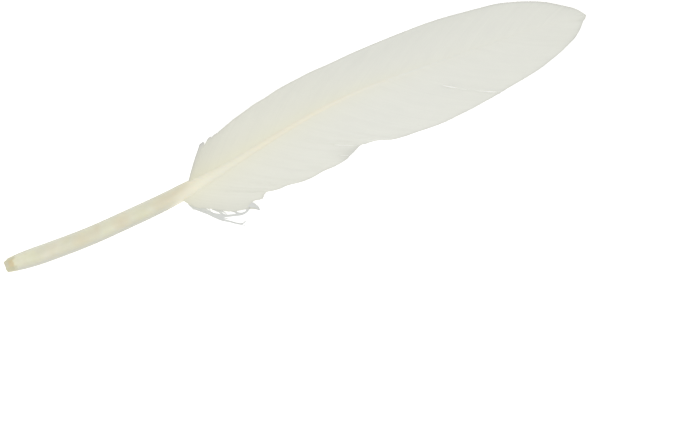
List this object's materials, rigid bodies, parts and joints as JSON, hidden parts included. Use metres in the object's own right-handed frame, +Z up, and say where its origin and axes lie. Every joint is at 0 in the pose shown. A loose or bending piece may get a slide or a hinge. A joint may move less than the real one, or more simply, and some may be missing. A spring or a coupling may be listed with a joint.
{
  "type": "goose quill feather",
  "caption": "White goose wing feather lying flat: bare round quill, tapering shaft, narrow and wide vane with a split, a notched edge and loose barbs at the base.",
  "frame": {"origin": "middle of the feather's outline seen from above, on the surface it lies on", "axes": "+X from the quill's cut end to the tip, +Y towards the narrow vane, +Z up, out of the feather's outer side"},
  "size_m": [0.2006, 0.0378, 0.0089],
  "materials": {
    "horn": "satin",
    "vane": "matte"
  },
  "bodies": {
    "root": {"shaft": "horn", "narrow_vane": "vane", "wide_vane": "vane"}
  },
  "joints": []
}
